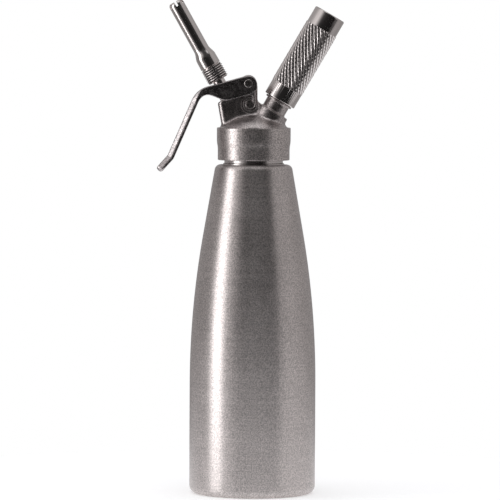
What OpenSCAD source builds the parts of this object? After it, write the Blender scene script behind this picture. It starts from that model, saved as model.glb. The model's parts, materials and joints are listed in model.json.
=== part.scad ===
// Whipped cream dispenser, one litre, all stainless steel.
// Frame: +Z up along the bottle, origin at the middle of the base,
// nozzle and lever towards -X, charger holder towards +X.
// Millimetres.

/* [Bottle] */
// Outer radius of the straight lower part of the bottle
bottle_r = 48.2; // [46:0.1:50]
// Height of the bottle from the table to its shoulder
bottle_h = 252; // [235:1:275]
// Height at which the taper starts
straight_h = 84; // [75:1:95]
// Height of the long curve between the straight part and the taper
bend_h = 114; // [100:1:125]
// Radius that the taper reaches at the shoulder's height
shoulder_r = 29.1; // [28.5:0.1:31]
// Rounding of the shoulder
shoulder_round = 4.5; // [2:0.25:5]
// Rounding of the bottom edge
base_round = 6; // [4:0.5:8]
// Thickness of the bottle's sheet
bottle_wall = 1.2; // [0.8:0.1:1.6]
// Width of the ring that the bottle stands on
foot_ring_w = 4; // [3:0.5:6]
// How far the base disc lies above the table
base_recess = 3; // [2:0.25:4]

/* [Neck] */
// Outer radius of the neck's thread
neck_r = 23.3; // [22.4:0.1:23.6]
// Bore radius of the neck
neck_bore_r = 20.6; // [19:0.1:21]
// Pitch of the neck's thread
neck_pitch = 3; // [2:0.25:4]
// Depth of the neck's thread
neck_thread_depth = 0.9; // [0.5:0.1:1.2]
// Visible gap between the bottle's shoulder and the head
neck_gap = 3.4; // [2:0.1:5]
// Thickness of the head gasket
gasket_t = 2.5; // [2:0.1:3.5]

/* [Head] */
// Outer radius of the head's upper band
cap_r = 28.2; // [27.6:0.1:29]
// Radial step between the upper and the lower band
cap_step = 0.75; // [0.3:0.05:1]
// Height of the head's cap
cap_h = 24.8; // [23.5:0.1:27]
// Height of the lower band
cap_band_h = 11.5; // [9:0.1:14]
// Height of the threaded recess under the cap
cap_recess_h = 18.2; // [17:0.1:19]
// Height of the dome above the cap
dome_h = 10.6; // [8:0.1:12]
// Radius of the dome where it meets the cap
dome_r = 26; // [25:0.1:26.6]
// Height above the cap's bottom at which both port axes cross
cross_h = 12.3; // [11:0.1:13]

/* [Valve tower] */
// Tilt of the dispensing valve from the vertical
valve_tilt = 29.25; // [28.5:0.25:30.5]
// Thickness of the tower
tower_t = 17; // [16:0.1:18]
// Rounding of the tower's upright edges
tower_round = 4; // [2:0.1:5]
// Distance of the tower's top face from the crossing point
tower_top = 40.8; // [40:0.1:41.5]
// Lean of the tower's nozzle-side edge
tower_lean = 10; // [8:0.5:11]
// Radius of the round recess in the tower's sides
pocket_r = 7; // [5:0.1:8]
// Depth of that recess
pocket_depth = 1.1; // [0.5:0.1:1.4]

/* [Lever] */
// Distance of the lever's pin from the valve's axis
pivot_off = 18.9; // [18.5:0.1:19.6]
// Distance of the lever's pin from the crossing point, along the valve
pivot_up = 42.5; // [42:0.1:43.2]
// Radius of the lever's pin
pin_r = 2; // [1.5:0.1:2.4]
// Slope of the lever's top at rest
lever_slope = 15.7; // [15:0.1:16.5]
// Swing of the lever when it is squeezed
lever_swing = 13.5; // [8:0.5:13.5]
// Thickness of the lever's sheet
sheet_t = 2; // [1.6:0.1:2.2]
// Height of the lever's top above its pin
lever_top = 6.1; // [5.9:0.1:6.8]
// Depth of the lever's side plates below its top at the tower
cheek_depth = 14.5; // [13.5:0.1:15]
// Depth of the rolled edges along the arm
arm_depth = 5.4; // [4.6:0.1:6]
// Distance from the pin to the start of the bend
bend_start = 31.2; // [30.5:0.1:33]
// Outer radius of the bend
bend_r = 18; // [15:0.5:20]
// Angle of the bend
bend_angle = 50.9; // [46:0.1:54]
// Length of the straight arm
arm_len = 46; // [42:0.5:54]
// Outward kick of the finger tab
tab_angle = 18.5; // [12:0.5:24]
// Length of the finger tab
tab_len = 13.6; // [9:0.2:15]

/* [Dispensing valve] */
// Radius of the valve's stem
stem_r = 3.6; // [3.3:0.05:3.7]
// Bore radius of the stem
stem_bore_r = 2.2; // [1.8:0.05:2.3]
// Radius of the valve's plate
poppet_r = 6.4; // [5.8:0.1:6.6]
// Thickness of the valve's rubber seal
seal_t = 2; // [1.5:0.1:2.4]
// Distance of the valve's seat from the crossing point
seat_up = 14; // [13.5:0.1:14.5]
// Radius of the bore that holds the return spring
spring_bore_r = 6.4; // [6.3:0.05:6.6]
// Wire diameter of the return spring
spring_wire = 0.9; // [0.7:0.05:0.95]
// Turns of the return spring
spring_turns = 7; // [5:1:8]
// Length of the guide bush
bush_len = 6; // [4:0.5:8]

/* [Nozzle] */
// Radius of the adapter's outer thread
adapter_r = 8.5; // [7.8:0.1:8.6]
// Length of the adapter's outer thread
adapter_len = 12; // [9:0.5:14]
// Pitch of the adapter's outer thread
adapter_pitch = 1.5; // [1:0.1:2]
// Radius of the spigot under the tip's skirt
spigot_r = 6.2; // [5.8:0.1:6.3]
// Length of that spigot
spigot_len = 5.3; // [4:0.1:6]
// Radius of the tip's skirt
skirt_r = 8; // [7.7:0.1:8.3]
// Outer radius of the tip's tube
tube_r = 5.95; // [5.6:0.05:6.3]
// Bore radius of the tip's tube
tube_bore_r = 4.9; // [4.4:0.1:5]
// Length of the tip
tip_len = 56.4; // [50:0.2:62]
// Number of slots in the tip
tip_slots = 6; // [5:1:8]
// Width of a slot
slot_w = 1.8; // [1.2:0.1:2.2]
// Depth of a slot
slot_depth = 4.2; // [3:0.1:5]

/* [Charging port] */
// Tilt of the charging port from the vertical
port_tilt = 30.2; // [29:0.1:32]
// Radius of the port's boss
boss_r = 12.6; // [12:0.1:13]
// Distance of the boss's top from the crossing point
boss_top = 29.3; // [28:0.1:30]
// Radius of the port's neck
port_neck_r = 9.3; // [9:0.05:9.35]
// Distance of the holder's lower end from the crossing point
holder_start = 38.7; // [38:0.1:41]
// Length of the thread inside the holder
port_thread_len = 10.8; // [9:0.1:11]
// Pitch of that thread
port_pitch = 1.5; // [1:0.1:2]
// Radius of the inlet valve
inlet_r = 5.4; // [5:0.1:5.8]
// Radius of the check ball
ball_r = 1.8; // [1.5:0.1:2]
// Travel of the check ball
ball_travel = 1.2; // [0.6:0.1:1.4]

/* [Charger and holder] */
// Body radius of the gas charger
charger_r = 9; // [8.8:0.05:9.1]
// Neck radius of the gas charger
charger_neck_r = 4.4; // [4.2:0.05:4.5]
// Room between the gas charger's end and the holder's roof
charger_room = 2.2; // [0.5:0.1:4]
// Wall of the gas charger
charger_wall = 1.6; // [1:0.1:2]
// Outer radius of the charger holder
holder_r = 12.65; // [12.2:0.05:13.2]
// Length of the charger holder
holder_len = 76.4; // [75:0.1:78]
// Wall of the charger holder
holder_wall = 2; // [1.4:0.1:2.1]
// Length of the smooth band at the holder's lower end
holder_low_band = 11.6; // [9:0.1:13]
// Length of the smooth band at the holder's top
holder_top_band = 13.1; // [9:0.1:14]
// Height of the knurl above the smooth bands
knurl_rise = 0.3; // [0.15:0.05:0.5]

/* [Fits] */
// Radial clearance of a running or screwed fit
run_gap = 0.05; // [0.03:0.01:0.08]
// Clearance between pieces that move past each other
move_gap = 0.3; // [0.25:0.01:0.4]

/* [Hidden] */
$fn = 96;
steel = [0.72, 0.71, 0.71];
dark_steel = [0.42, 0.41, 0.42];
bright_steel = [0.8, 0.8, 0.8];
rubber = [0.12, 0.12, 0.13];
white_plastic = [0.9, 0.9, 0.88];
red_rubber = [0.62, 0.14, 0.12];
eps = 0.01;
far = 400;

// Bottle
taper_h = bottle_h - straight_h - bend_h;
taper_angle = 2 * atan(half_angle_tan(0, 8));
taper_bend_r = bend_h / sin(taper_angle);
taper_top_z = straight_h + bend_h;
taper_top_r = shoulder_r + taper_h * tan(taper_angle);
shoulder_centre_z = bottle_h - shoulder_round;
shoulder_centre_r = flank_r(shoulder_centre_z + shoulder_round * sin(taper_angle))
    - shoulder_round * cos(taper_angle);
foot_r = bottle_r - base_round;
base_r = foot_r - foot_ring_w;

// Neck and head heights
cap_z = bottle_h + neck_gap;
gasket_top_z = cap_z + cap_recess_h;
neck_top_z = gasket_top_z - gasket_t;
cap_top_z = cap_z + cap_h;
cap_bore_r = neck_r + run_gap;
cross_z = cap_z + cross_h;
dome_sphere_r = (dome_r * dome_r + dome_h * dome_h) / (2 * dome_h);
bowl_r = neck_bore_r - 4.6;
bowl_h = 1.4;
cap_slope_h = 2;
neck_flange_r = shoulder_centre_r + 0.2;
neck_flange_t = 1.5;
gasket_r = neck_r - 0.2;

// Tower, in the valve's own frame: +Z along the valve, +X towards the pin
guide_r = stem_r + run_gap;
bush_start = seat_up + 10;
ear_r = lever_top + 0.2;
ear_flat = 0.8 * ear_r;
ear_t = tower_t - 0.1;
tower_edge_low = -24.6;
tower_edge_z = cap_top_z + 1.2;
tower_left_w = 22;
tower_root = 10;
tower_h = 50;
tower_mid = -16;
tower_right = 2.7;
pocket_x = -2.6;
pocket_z = cap_top_z + dome_h + pocket_r + 0.2;
pocket_rings = 2;
pocket_ring_gap = 1.5;
pocket_ring_w = 0.6;
pocket_ring_h = 0.45;
rib_x = 1.8;
rib_low = 1.5;
rib_slope = 43;

// Lever, in its own frame: origin in the pin, +X along the top towards the pin
lever_t = tower_t + 2 * move_gap + 2 * sheet_t;
cheek_end_x = -0.8;
throat_turn = 30;
ramp_high = [2 - bend_start, lever_top - 7.9];
ramp_angle = 36.6;
belly_round = 5;
tab_round = arm_depth / 2;
web_under = lever_top - sheet_t;
web_end = 11;
pin_head_r = pin_r + 1.1;
pin_head_t = 1.2;
pin_hole_r = pin_r + run_gap;
clip_t = 0.8;
clip_r = pin_r + 1.6;
groove_depth = 0.4;

// Dispensing valve along its axis, measured from the crossing point
tilt_left = valve_tilt - lever_slope;
cup_r = spring_bore_r - 0.2;
cup_wall = 1;
cup_top = pivot_up + web_height(tilt_left, pivot_off - cup_r) - move_gap;
cup_low = tower_top - 1.5;
cup_plate = 2;
adapter_neck_r = 4.6;
adapter_low = pivot_up + web_top_height(tilt_left, pivot_off + adapter_r) + move_gap;
adapter_top = adapter_low + adapter_len;
spigot_top = adapter_top + spigot_len;
stem_top = adapter_low + 3;
stem_thread_r = stem_r - 0.5;
stem_low = seat_up - seal_t - 4;
spring_low = bush_start + bush_len;
spring_high = cup_top - cup_plate;
spring_r = (guide_r + cup_r - cup_wall) / 2;
ring_groove_z = seat_up + 6;
ring_groove_w = 1.3;
ring_groove_depth = 0.8;

// Tip along the valve's axis
tip_low = adapter_top + 0.2;
tip_top = tip_low + tip_len;
tip_seal_t = 0.8;
flare_top = tip_low + 14.4;
skirt_top = tip_low + 7.9;
mouth_round = 3;
lip_angle = 66;

// Charging port along its axis, measured from the crossing point
spigot2_top = holder_start + port_thread_len;
port_step = 1.5;
collar_len = 1.5;
collar_low = holder_start - move_gap - collar_len;
port_thread_depth = 0.6;
inlet_low = 24;
inlet_top = 43;
recess_r = charger_neck_r + 0.3;
charger_seal_t = 1.8;
charger_low = inlet_top + charger_seal_t + 0.02;
charger_neck_len = 7;
holder_top = holder_start + holder_len;
holder_roof = 2.6;
holder_bore_r = holder_r - holder_wall;
charger_high = holder_top - holder_roof - charger_room;
port_thread_r = port_neck_r + run_gap;
sleeve_low = spigot2_top + 3;
ball_z = 33.4;
ball_room_r = ball_r + 0.4;
ball_spring_r = ball_r - 0.5;
ball_wire_r = 0.2;
ball_bore_r = ball_spring_r + ball_wire_r + 0.1;
ball_stop = ball_z - ball_travel - run_gap - sqrt(ball_r * ball_r - ball_bore_r * ball_bore_r);
ball_spring_low = inlet_low + 3;
ball_seat_z = ball_z + ball_r + 0.2;
seat_top = ball_seat_z + 1.6;
seat_bore_r = ball_room_r + 0.8;
inlet_groove_z = inlet_low + 4;
inlet_groove_w = 1.6;
inlet_groove_depth = 0.9;
gas_r = 1.4;
pierce_r = 0.8;
pierce_top = charger_low + 2.6;

// Tangent of half the taper's angle, found by repeating: the curve and the
// taper together narrow the bottle from its radius to the shoulder's
function half_angle_tan(t, rounds) = rounds == 0 ? t
    : half_angle_tan((bottle_r - shoulder_r) / (bend_h + 2 * taper_h / (1 - t * t)), rounds - 1);

// Radius of the bottle's outside at a height
function flank_r(z) = z <= straight_h ? bottle_r
    : z <= taper_top_z ? bottle_r - taper_bend_r
        + sqrt(taper_bend_r * taper_bend_r - pow(z - straight_h, 2))
    : taper_top_r - (z - taper_top_z) * tan(taper_angle);

// Height of the lever's underside and of its top above the pin, along the
// valve, at a distance from the pin and with a tilt left to square
function web_height(tilt, off) = (web_under + off * sin(tilt)) / cos(tilt);
function web_top_height(tilt, off) = (lever_top + off * sin(tilt)) / cos(tilt);

// Where the valve's axis meets the lever's web, along the lever from its pin
function slot_x(tilt) = -pivot_off * cos(tilt) - web_height(tilt, pivot_off) * sin(tilt);

// Points on an arc round a centre
function arc(cx, cy, r, a0, a1, steps) =
    [for (i = [0:steps]) let (a = a0 + (a1 - a0) * i / steps)
        [cx + r * cos(a), cy + r * sin(a)]];

// Points of a helix on a radius between two heights
function helix(r, z0, z1, turns, per_turn) =
    [for (i = [0:turns * per_turn]) let (a = 360 * i / per_turn)
        [r * cos(a), r * sin(a), z0 + (z1 - z0) * i / (turns * per_turn)]];

function unit(v) = v / norm(v);

// Where a line through p along u meets a line through q along v
function meeting(p, u, q, v) =
    p + u * ((q[0] - p[0]) * v[1] - (q[1] - p[1]) * v[0]) / (u[0] * v[1] - u[1] * v[0]);

// One unbroken tube along points, its ends closed
module wire(points, r, sides) {
    last = len(points) - 1;
    along = [for (i = [0:last]) unit(points[min(i + 1, last)] - points[max(i - 1, 0)])];
    rings = [for (i = [0:last]) let (side = unit(cross(along[i], [0, 0, 1])),
            up = cross(side, along[i]))
        for (k = [0:sides - 1]) points[i]
            + r * (cos(360 * k / sides) * side + sin(360 * k / sides) * up)];
    walls = [for (i = [0:last - 1], k = [0:sides - 1]) let (n = (k + 1) % sides)
        each [[i * sides + k, (i + 1) * sides + k, i * sides + n],
            [(i + 1) * sides + k, (i + 1) * sides + n, i * sides + n]]];
    low_cap = [for (k = [1:sides - 2]) [0, k, k + 1]];
    high_cap = [for (k = [1:sides - 2]) [last * sides, last * sides + k + 1, last * sides + k]];
    polyhedron(rings, concat(walls, low_cap, high_cap));
}

module on_valve() {
    translate([0, 0, cross_z]) rotate([0, -valve_tilt, 0]) children();
}

module on_port() {
    translate([0, 0, cross_z]) rotate([0, port_tilt, 0]) children();
}

module on_pin() {
    on_valve() translate([pivot_off, 0, pivot_up]) rotate([0, valve_tilt, 0]) children();
}

module on_lever() {
    on_pin() rotate([0, -lever_slope, 0]) children();
}

// A tube between two heights
module ring(outer, inner, z0, z1) {
    difference() {
        translate([0, 0, z0]) cylinder(r = outer, h = z1 - z0);
        translate([0, 0, z0 - 1]) cylinder(r = inner, h = z1 - z0 + 2);
    }
}

module rod(r, z0, z1) {
    translate([0, 0, z0]) cylinder(r = r, h = z1 - z0);
}

// A round bar with V-shaped ridges, one per pitch
module ridged_bar(r, depth, pitch, z0, z1) {
    count = floor((z1 - z0) / pitch);
    ridges = [for (i = [0:count - 1]) each [[r - depth, z0 + i * pitch],
        [r, z0 + (i + 0.35) * pitch], [r, z0 + (i + 0.65) * pitch]]];
    rotate_extrude() polygon(concat([[0, z0]], ridges,
        [[r - depth, z0 + count * pitch], [r - depth, z1], [0, z1]]));
}

module bottle_shell() {
    outer = concat(
        arc(foot_r, base_round, base_round, -90, 0, 8),
        [for (i = [0:16]) let (z = straight_h + (taper_top_z - straight_h) * i / 16)
            [flank_r(z), z]],
        arc(shoulder_centre_r, shoulder_centre_z, shoulder_round, taper_angle, 90, 8));
    inner = concat(
        arc(shoulder_centre_r, shoulder_centre_z, shoulder_round - bottle_wall,
            90, taper_angle, 8),
        [for (i = [16:-1:0]) let (z = straight_h + (taper_top_z - straight_h) * i / 16)
            [flank_r(z) - bottle_wall, z]],
        arc(foot_r, base_round, base_round - bottle_wall, 0, -90, 8));
    color(steel) rotate_extrude() polygon(concat([[base_r, 0]], outer,
        [[cap_bore_r, bottle_h], [cap_bore_r, bottle_h - bottle_wall]], inner,
        [[base_r, bottle_wall]]));
}

// Pressed disc welded into the foot ring
module bottle_base() {
    disc_r = base_r - run_gap;
    color(steel) difference() {
        rod(disc_r, 0.4, base_recess + bottle_wall);
        rod(disc_r - bottle_wall, -1, base_recess);
    }
}

module neck_ring() {
    flange_z = bottle_h - bottle_wall - run_gap;
    color(bright_steel) difference() {
        union() {
            rod(neck_flange_r, flange_z - neck_flange_t, flange_z);
            rod(neck_r - neck_thread_depth, flange_z - 1, cap_z + 1 + neck_pitch / 2);
            ridged_bar(neck_r, neck_thread_depth, neck_pitch, cap_z + 1, neck_top_z);
            rod(neck_r, flange_z - 1, bottle_h + 1);
        }
        rod(neck_bore_r, flange_z - 2 * neck_flange_t, neck_top_z + 1);
    }
}

module head_gasket() {
    color(red_rubber) ring(gasket_r, neck_bore_r - 2, neck_top_z, gasket_top_z);
}

// Upright slab with rounded edges, from a rounded rectangle in plan
module rounded_column(x0, x1, z1) {
    r = tower_round;
    half = tower_t / 2;
    linear_extrude(z1) union() {
        translate([x0 + r, -half]) square([x1 - x0 - 2 * r, tower_t]);
        translate([x0, -half + r]) square([x1 - x0, tower_t - 2 * r]);
        for (x = [x0 + r, x1 - r], y = [-half + r, half - r]) translate([x, y]) circle(r);
    }
}

module tower() {
    // The nozzle-side part leans out, the pin-side part stands upright
    difference() {
        union() {
            translate([tower_edge_low, 0, tower_edge_z]) rotate([0, -tower_lean, 0])
                translate([0, 0, -tower_root]) rounded_column(0, tower_left_w, tower_h + tower_root);
            translate([0, 0, cap_top_z - 4]) rounded_column(tower_mid, tower_right, tower_h);
        }
        on_valve() translate([pivot_off - far - ear_flat, -far, tower_top])
            cube([far, 2 * far, far]);
        on_pin() translate([-far, -far, -pin_r]) cube(2 * far);
    }
    on_pin() rotate([90, 0, 0]) translate([0, 0, -ear_t / 2]) cylinder(r = ear_r, h = ear_t);
}

module charging_boss() {
    corner = [boss_top * sin(port_tilt) - boss_r * cos(port_tilt),
        cross_z + boss_top * cos(port_tilt) + boss_r * sin(port_tilt)];
    rise = 2.2;
    drop = 12;
    on_port() {
        rod(boss_r, 4, boss_top);
        rod(port_neck_r, boss_top - 1, holder_start);
        rod(port_neck_r + port_step, collar_low, holder_start - move_gap);
        ridged_bar(port_neck_r, port_thread_depth, port_pitch, holder_start - 1, spigot2_top);
    }
    // Web that joins the tower's upright edge to the boss
    rotate([90, 0, 0]) translate([0, 0, tower_round - tower_t / 2])
        linear_extrude(tower_t - 2 * tower_round)
        polygon([[tower_right - 1, corner[1] + rise], [tower_right, corner[1] + rise],
            [corner[0] + 0.4, corner[1] - 0.25], [corner[0] + 2, corner[1] - drop],
            [tower_right - 1, corner[1] - drop]]);
}

module cap_and_dome() {
    low_r = cap_r - cap_step;
    bevel = 0.7;
    rotate_extrude() polygon([[0, cap_z + cap_recess_h], [cap_bore_r, cap_z + cap_recess_h],
        [cap_bore_r, cap_z], [low_r - bevel, cap_z], [low_r, cap_z + bevel],
        [low_r, cap_z + cap_band_h - cap_slope_h / 2],
        [cap_r, cap_z + cap_band_h + cap_slope_h / 2],
        [cap_r, cap_top_z - bevel], [cap_r - bevel, cap_top_z], [0, cap_top_z]]);
    intersection() {
        translate([0, 0, cap_top_z + dome_h - dome_sphere_r]) sphere(dome_sphere_r);
        rod(dome_r + 1, cap_top_z, cap_top_z + dome_h + 1);
    }
}

// One casting: threaded cap, dome, valve tower and charging port
module head_body() {
    color(steel) difference() {
        union() {
            cap_and_dome();
            difference() {
                union() {
                    tower();
                    charging_boss();
                }
                translate([-far, -far, cap_top_z - 1 - 2 * far]) cube(2 * far);
            }
        }
        rod(bowl_r, gasket_top_z - 1, gasket_top_z + bowl_h);
        on_valve() {
            rod(poppet_r + 0.8, 0, seat_up);
            rod(guide_r, 0, far);
            rod(spring_bore_r, bush_start, far);
        }
        on_port() {
            rod(gas_r, 4, inlet_low);
            rod(inlet_r + run_gap, inlet_low, inlet_top);
            rod(recess_r, inlet_top - 1, far);
        }
        on_pin() rotate([90, 0, 0]) translate([0, 0, -far / 2]) cylinder(r = pin_r, h = far);
        for (side = [-1, 1]) translate([pocket_x, side * tower_t / 2, pocket_z])
            rotate([90, 0, 0]) pocket_cut();
    }
}

// Round recess with raised concentric rings on its floor, cut off by a rib on the right
module pocket_cut() {
    wide = 2 * pocket_r;
    difference() {
        translate([0, 0, -pocket_depth]) cylinder(r = pocket_r, h = 2 * pocket_depth);
        translate([0, 0, -wide / 2]) linear_extrude(wide)
            polygon([[rib_x, rib_low], [wide, rib_low - (wide - rib_x) * tan(rib_slope)],
                [wide, wide], [rib_x, wide]]);
        for (i = [1:pocket_rings], side = [0, 1]) let (r = pocket_r - pocket_ring_gap * i)
            mirror([0, 0, side])
                ring(r, r - pocket_ring_w, pocket_depth - pocket_ring_h, pocket_depth + eps);
    }
}

// Contour of the lever from a turn of the bend to the tab, at a depth below its top
function lever_outline(depth, turn) = let (
        r = bend_r - depth,
        centre = [-bend_start, lever_top - bend_r],
        bend_end = centre + r * [-sin(bend_angle), cos(bend_angle)],
        arm_dir = [-cos(bend_angle), -sin(bend_angle)])
    concat(arc(centre[0], centre[1], r, 90 + turn, 90 + bend_angle, 12),
        [bend_end + arm_dir * (arm_len + depth * tan(tab_angle / 2))]);

// Round end of the tab, at a depth below its outside
function tab_end(depth) = let (
        turn = bend_angle - tab_angle,
        outline = lever_outline(0, 0),
        centre = outline[len(outline) - 1]
            + (tab_len - tab_round) * [-cos(turn), -sin(turn)]
            + tab_round * [sin(turn), -cos(turn)])
    arc(centre[0], centre[1], tab_round - depth, 90 + turn, 270 + turn, 12);

function reversed(list) = [for (i = [len(list) - 1:-1:0]) list[i]];

// Sheet of the lever's top, rolled in at the end of the tab
module lever_web_profile() {
    polygon(concat([[-web_end, lever_top]], lever_outline(0, 0), tab_end(0),
        reversed(tab_end(sheet_t)), reversed(lever_outline(sheet_t, 0)),
        [[-web_end, lever_top - sheet_t]]));
}

// Curve that leaves one point and reaches another along the lines to a corner
function eased(from, corner, to, steps) =
    [for (i = [0:steps]) let (t = i / steps)
        (1 - t) * (1 - t) * from + 2 * t * (1 - t) * corner + t * t * to];

// Side plate: round at the pin, deep at the tower, shallow along the arm
module cheek_profile() {
    low = lever_top - cheek_depth;
    r = cheek_depth / 2;
    inner = lever_outline(arm_depth, throat_turn);
    ramp_dir = [cos(ramp_angle), -sin(ramp_angle)];
    throat = meeting(inner[0], [cos(throat_turn), sin(throat_turn)], ramp_high, ramp_dir);
    belly = ramp_high + ramp_dir * (ramp_high[1] - low) / sin(ramp_angle);
    polygon(concat(arc(cheek_end_x, lever_top - r, r, -90, 90, 24), lever_outline(0, 0),
        tab_end(0), reversed(inner), eased(inner[0], throat, ramp_high, 6),
        eased(belly - ramp_dir * belly_round / 2, belly, belly + [belly_round, 0], 6)));
}

module lever() {
    half = lever_t / 2;
    color(dark_steel) difference() {
        on_lever() rotate([90, 0, 0]) union() {
            translate([0, 0, -half]) linear_extrude(lever_t) lever_web_profile();
            for (z = [-half, half - sheet_t]) translate([0, 0, z])
                linear_extrude(sheet_t) cheek_profile();
        }
        on_pin() rotate([90, 0, 0]) translate([0, 0, -far / 2])
            cylinder(r = pin_hole_r, h = far);
        stem_slot();
    }
}

// Slot in the lever's top for the adapter's neck
module stem_slot() {
    half_w = adapter_neck_r + 0.7;
    rest_x = slot_x(tilt_left);
    full_x = slot_x(tilt_left - lever_swing);
    on_lever() translate([0, 0, web_under - 1]) linear_extrude(sheet_t + 2) union() {
        translate([rest_x, 0]) circle(half_w);
        translate([full_x, 0]) circle(half_w);
        translate([rest_x, -half_w]) square([full_x - rest_x, 2 * half_w]);
    }
}

module lever_pin() {
    half = lever_t / 2 + 0.1;
    color(bright_steel) on_pin() rotate([90, 0, 0]) difference() {
        union() {
            rod(pin_r, -half - clip_t - 1.4, half + 0.1);
            rotate_extrude() polygon(concat([[0, half]], [[pin_head_r, half]],
                arc(pin_head_r - 0.5, half + pin_head_t - 0.5, 0.5, 0, 90, 6),
                [[0, half + pin_head_t]]));
        }
        rod(1.3, half + pin_head_t - 0.9, half + pin_head_t + 1);
        ring(pin_r + 1, pin_r - groove_depth, -half - clip_t - 0.15, -half - 0.05);
    }
}

module pin_clip() {
    half = lever_t / 2 + 0.1;
    color(dark_steel) on_pin() rotate([90, 0, 0]) difference() {
        ring(clip_r, pin_r - groove_depth + run_gap, -half - clip_t - 0.1, -half - 0.1);
        translate([0, -clip_r * 0.9 - 1, -half - clip_t / 2])
            cube([pin_r, clip_r * 1.8, clip_t * 3], center = true);
    }
}

module guide_bush() {
    color(white_plastic) on_valve()
        ring(spring_bore_r - 0.02, guide_r + 0.02, bush_start + 0.02, spring_low);
}

module valve_spring() {
    start = spring_low + spring_wire / 2 + 0.05;
    end = spring_high - spring_wire / 2 - 0.05;
    points = helix(spring_r, start, end, spring_turns, 12);
    echo("least gap between spring turns", (end - start) / spring_turns - spring_wire);
    color(bright_steel) on_valve() wire(points, spring_wire / 2, 6);
}

module spring_cup() {
    hole_r = stem_thread_r + run_gap;
    inner_r = cup_r - cup_wall;
    bevel = 0.4;
    color(bright_steel) on_valve() rotate_extrude() polygon([[inner_r, cup_low], [cup_r, cup_low],
        [cup_r, cup_top - bevel], [cup_r - bevel, cup_top], [hole_r, cup_top],
        [hole_r, cup_top - cup_plate], [inner_r, cup_top - cup_plate]]);
}

module valve_spindle() {
    port_r = 1.3;
    color(bright_steel) on_valve() difference() {
        union() {
            rod(poppet_r, stem_low, seat_up - seal_t - 0.02);
            rod(stem_r, stem_low, cup_top - cup_plate);
            rod(stem_thread_r, stem_low, stem_top);
        }
        rod(stem_bore_r, seat_up - seal_t + 0.6, stem_top + 1);
        for (a = [0, 90]) translate([0, 0, seat_up + port_r + 0.4]) rotate([0, 90, a])
            cylinder(r = port_r, h = 4 * stem_r, center = true);
        ring(stem_r + 1, stem_r - ring_groove_depth, ring_groove_z,
            ring_groove_z + ring_groove_w);
    }
}

module spindle_seal() {
    color(rubber) on_valve() ring(poppet_r, stem_r + 0.02, seat_up - seal_t, seat_up - 0.02);
}

module spindle_ring() {
    cord_r = 0.38;
    color(rubber) on_valve() translate([0, 0, ring_groove_z + ring_groove_w / 2]) rotate_extrude()
        translate([stem_r - ring_groove_depth + cord_r + eps, 0]) circle(cord_r, $fn = 24);
}

module nozzle_adapter() {
    depth = 0.7;
    color(steel) on_valve() difference() {
        union() {
            rod(adapter_neck_r, cup_top, adapter_low + 1);
            ridged_bar(adapter_r, depth, adapter_pitch, adapter_low, adapter_top);
            rod(spigot_r, adapter_top - 1, spigot_top);
        }
        rod(stem_thread_r + run_gap, cup_top - 1, stem_top + 0.5);
        rod(tube_bore_r - 0.6, stem_top + 0.5, spigot_top + 1);
    }
}

module tip_seal() {
    color(white_plastic) on_valve()
        ring(spigot_r - 0.1, tube_bore_r - 0.4, spigot_top + 0.02, spigot_top + tip_seal_t);
}

module decorator_tip() {
    skirt_bore = spigot_r + run_gap;
    shelf = spigot_top + tip_seal_t + 0.02;
    outer = concat([[skirt_r - 0.3, tip_low], [skirt_r, tip_low + 0.3],
            [skirt_r - 0.15, skirt_top], [tube_r, flare_top]],
        arc(tube_r - mouth_round, tip_top - mouth_round, mouth_round, 0, lip_angle, 8));
    lip = mouth_round - tube_r + tube_bore_r;
    inner = concat(arc(tube_r - mouth_round, tip_top - mouth_round, lip, lip_angle, 0, 8),
        [[tube_bore_r, flare_top], [skirt_bore - 0.4, shelf], [skirt_bore, shelf]]);
    color(steel) on_valve() difference() {
        rotate_extrude() polygon(concat([[skirt_bore, tip_low]], outer, inner));
        for (i = [0:tip_slots - 1]) rotate([0, 0, (i + 0.5) * 360 / tip_slots])
            translate([0, -slot_w / 2, tip_top - slot_depth]) cube([far, slot_w, far]);
    }
}

module inlet_valve() {
    color(bright_steel) on_port() difference() {
        rod(inlet_r, inlet_low + 0.6, inlet_top);
        rod(gas_r, inlet_low - 1, inlet_top - 6);
        rod(ball_bore_r, ball_spring_low, ball_z);
        rod(ball_room_r, ball_stop, ball_seat_z + 1);
        rod(seat_bore_r, ball_seat_z, inlet_top + 1);
        ring(inlet_r + 1, inlet_r - inlet_groove_depth, inlet_groove_z,
            inlet_groove_z + inlet_groove_w);
    }
}

module inlet_seal() {
    cord_r = 0.45;
    color(rubber) on_port() translate([0, 0, inlet_groove_z + inlet_groove_w / 2]) rotate_extrude()
        translate([inlet_r - inlet_groove_depth + cord_r + eps, 0]) circle(cord_r, $fn = 24);
}

module check_spring() {
    low = ball_spring_low + ball_wire_r + run_gap;
    high = ball_z - sqrt(ball_r * ball_r - ball_spring_r * ball_spring_r) - ball_wire_r - run_gap;
    color(bright_steel) on_port() wire(helix(ball_spring_r, low, high, 4, 12), ball_wire_r, 6);
}

module check_ball() {
    color(bright_steel) on_port() translate([0, 0, ball_z]) sphere(ball_r);
}

// Seat that the check ball closes against, held down by the piercing pin's collar
module ball_seat() {
    bore_r = 1;
    mouth_r = 1.6;
    color(white_plastic) on_port() difference() {
        rod(seat_bore_r - run_gap, ball_seat_z + 0.02, seat_top);
        rod(bore_r, ball_z, inlet_top);
        translate([0, 0, ball_seat_z - 0.3]) cylinder(r1 = mouth_r, r2 = bore_r, h = 0.7);
    }
}

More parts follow.
